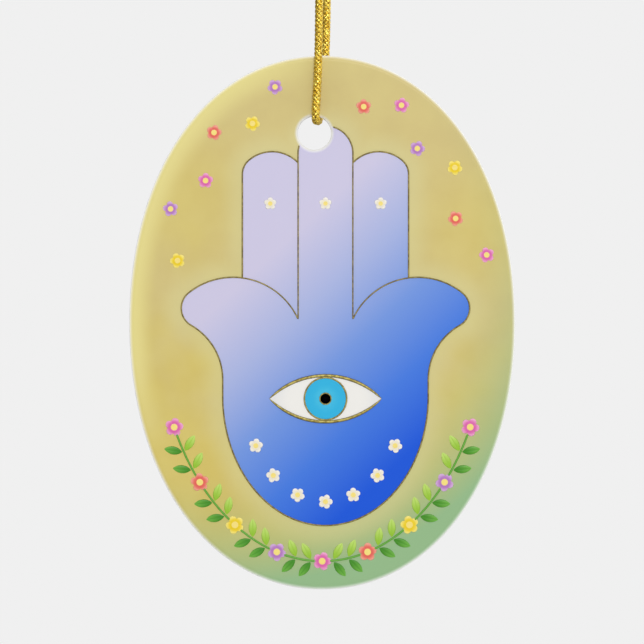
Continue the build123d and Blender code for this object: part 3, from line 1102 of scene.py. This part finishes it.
petalColours = {
    "pink": (screenColour(219, 104, 172), screenColour(240, 170, 208)),
    "coral": (screenColour(228, 104, 92), screenColour(244, 168, 146)),
    "yellow": (screenColour(236, 205, 44), screenColour(248, 232, 130)),
    "lilac": (screenColour(180, 122, 192), screenColour(216, 178, 222)),
    "cream": (screenColour(236, 228, 208), screenColour(247, 243, 234)),
}
groundColours = ["pink", "coral", "yellow", "lilac"]
leafColours = {
    "green": (screenColour(66, 138, 38), screenColour(110, 176, 70)),
    "lime": (screenColour(150, 196, 60), screenColour(190, 220, 110)),
}


def onOval(inset, angle):
    turn = np.radians(angle)
    return np.stack([(halfWidth - inset) * np.cos(turn), (halfHeight - inset) * np.sin(turn)], axis=-1)


def garlandPlaces():
    angle = -90 + garland["span"] * np.linspace(-1, 1, garland["count"])
    return onOval(garland["inset"], angle), angle


def groundBlossoms(colour):
    # the colours take turns along the garland and along the staggered loose blossoms of each side
    colours, turn = len(groundColours), groundColours.index(colour)
    spots, angle = garlandPlaces()
    mine = np.arange(garland["count"]) % colours == turn
    groups = [(spots[mine], angle[mine], blossom["full"])]
    order = np.arange(garland["looseCount"])
    rise = np.linspace(garland["looseStart"], garland["looseEnd"], garland["looseCount"])
    for side, angle in enumerate((rise, 180 - rise)):
        mine = (order + 2 * side) % colours == turn
        spots = onOval(garland["looseInset"] + garland["looseStagger"] * ((order + side) % 2), angle)
        groups.append((spots[mine], angle[mine], garland["looseSize"]))
    return groups


def handBlossoms():
    # a bow along the bottom of the palm, and one blossom on each finger
    angle = -90 + garland["palmSpan"] * np.linspace(-1, 1, garland["palmCount"])
    turn = np.radians(angle)
    x = hand["side"] + (hand["palmHalf"] - garland["palmInset"]) * np.cos(turn)
    z = hand["palmHeight"] + (hand["palmDepth"] - garland["palmInset"]) * np.sin(turn)
    palm = np.stack([x, z], axis=1)
    x = hand["side"] + (hand["middleHalf"] + hand["outerEdge"]) / 2 * np.array([-1, 0, 1])
    fingers = np.stack([x, np.full(3, garland["fingerHeight"])], axis=1)
    return [(palm, angle, garland["palmSize"]), (fingers, np.zeros(3), garland["fingerSize"])]


def blossomShell(spots, angles, size, base):
    # round petals seen from above: the far edge of a circle off the middle,
    # at a bearing from its petal's axis
    scale = size / blossom["full"]
    turn = np.linspace(0, 2 * np.pi, blossom["around"], endpoint=False)
    part = 2 * np.pi / blossom["petals"]
    off = (turn - np.pi / 2 + part / 2) % part - part / 2
    reach, radius = blossom["reach"], blossom["radius"]
    outline = reach * np.cos(off) + np.sqrt(radius**2 - (reach * np.sin(off)) ** 2)
    share = np.r_[np.linspace(0, 1, blossom["rings"]), blossom["underShare"], 0.0][:, None]
    far = share * outline
    petalX, petalZ = far * np.cos(off) - reach, far * np.sin(off)
    spread = blossom["petalSpread"] * radius
    bulge = np.sqrt(np.clip(1 - (petalX**2 + petalZ**2) / spread**2, 0, 1))
    dome = np.sqrt(np.clip(1 - (far / blossom["heart"]) ** 2, 0, 1))
    lift = blossom["petalRise"] * bulge * np.sqrt(1 - share**4) + blossom["heartRise"] * dome
    lift[-2:] = -blossom["underDepth"]
    lift = base + lift * scale
    way = turn + np.radians(angles)[:, None]
    x = spots[:, 0, None, None] + far * scale * np.cos(way)[:, None]
    z = spots[:, 1, None, None] + far * scale * np.sin(way)[:, None]
    return shell(onFace(x, z, lift), False, True, far=far, off=np.abs(off))


def petalMaterial(name, deep, pale):
    material, tree, shader = newMaterial(name + "Ink")
    far = mark(tree, "far")
    petal = mixColours(tree, smooth(tree, far, *blossom["paleFade"]), deep, pale)
    fold = mixColours(tree, blossom["foldShare"], petal, deep)
    petal = mixColours(tree, smooth(tree, mark(tree, "off"), *blossom["foldFade"]), fold, petal)
    heart = smooth(tree, far, *blossom["heartFade"])
    plug(tree, shader.inputs["Base Color"], mixColours(tree, heart, petal, blossom["heartColour"]))
    return material


def leafShells(side):
    # leaves pair by pair up both sides of the garland,
    # each the lens between two arcs with a groove along it
    step = 2 * garland["span"] / (garland["count"] - 1)
    pairs = np.linspace(leaf["start"], leaf["end"], leaf["pairs"])
    gaps = np.arange((garland["count"] - 1) // 2)
    rise = (step * (gaps[:, None] + pairs)).ravel()
    angle = np.radians(rise - 90)
    a, b = halfWidth - garland["inset"], halfHeight - garland["inset"]
    heading = np.arctan2(b * np.cos(angle), -a * np.sin(angle))
    base = (garland["stemHalf"] + leaf["gap"]) * side
    footX = (a * np.cos(angle) - np.sin(heading) * base)[:, None, None]
    footZ = (b * np.sin(angle) + np.cos(heading) * base)[:, None, None]
    way = (heading + np.radians(leaf["splay"]) * side)[:, None, None]
    along, half = (part[:, None] for part in lensHalves(leaf["length"], leaf["width"], leaf["rows"]))
    over = np.linspace(-1, 1, leaf["columns"])
    flat, under = leaf["underHalf"], -leaf["underDepth"]
    across = np.r_[over, flat, -flat] * half
    groove = leaf["groove"] * np.exp(-((over / leaf["grooveHalf"]) ** 2))
    swell = half / (leaf["width"] / 2) * leaf["rise"]
    lift = np.r_[np.sqrt(1 - over**2) - groove, under, under] * swell + blossom["base"]
    x = footX + along * np.cos(way) - across * np.sin(way)
    z = footZ + along * np.sin(way) + across * np.cos(way)
    marks = {"over": np.abs(np.r_[over, flat, flat]), "along": along / leaf["length"]}
    return [shell(onFace(mirror * x, z, lift), False, True, **marks) for mirror in (1, -1)]


def leafMaterial(name, deep, pale):
    material, tree, shader = newMaterial(name + "LeafInk")
    colour = mixColours(tree, smooth(tree, mark(tree, "along"), *leaf["paleFade"]), deep, pale)
    groove = smooth(tree, mark(tree, "over"), *leaf["grooveFade"], 0.0, leaf["grooveShare"])
    plug(tree, shader.inputs["Base Color"], mixColours(tree, groove, colour, deep))
    return material


def stemMaterial():
    material, tree, shader = newMaterial("stemInk")
    deep, pale = leafColours["green"]
    # painted shade: pale along the stem's top and darker down its rounded sides
    shade = smooth(tree, mark(tree, "edge"), *garland["stemShadeFade"])
    plug(tree, shader.inputs["Base Color"], mixColours(tree, shade, pale, deep))
    return material


def addBlossoms(colour, groups, base):
    shells = [blossomShell(*group, base) for group in groups]
    finish = petalMaterial(colour, *petalColours[colour])
    addPiece(colour + "Blossoms", shells, finish, colour + "_ink", "blossoms_" + colour)


def addStem():
    angle = -90 + np.linspace(-1, 1, garland["stemPoints"]) * garland["span"]
    runs = clearOf([onOval(garland["inset"], angle)], garlandPlaces()[0], garland["stemClear"])
    shells = [beadShell(path, garland["stemHalf"], blossom["base"], garland["stemTop"]) for path in runs]
    addPiece("garlandStem", shells, stemMaterial(), "green_ink", "garland_stem")


def addLeaves(name, side, colour, node):
    finish = leafMaterial(colour, *leafColours[colour])
    addPiece(name, leafShells(side), finish, colour + "_ink", node)


for colour in groundColours:
    addBlossoms(colour, groundBlossoms(colour), blossom["base"])
addBlossoms("cream", handBlossoms(), blossom["handBase"])
addStem()
addLeaves("innerLeaves", 1, "lime", "leaves_inner")
addLeaves("outerLeaves", -1, "green", "leaves_outer")
print("garland made")
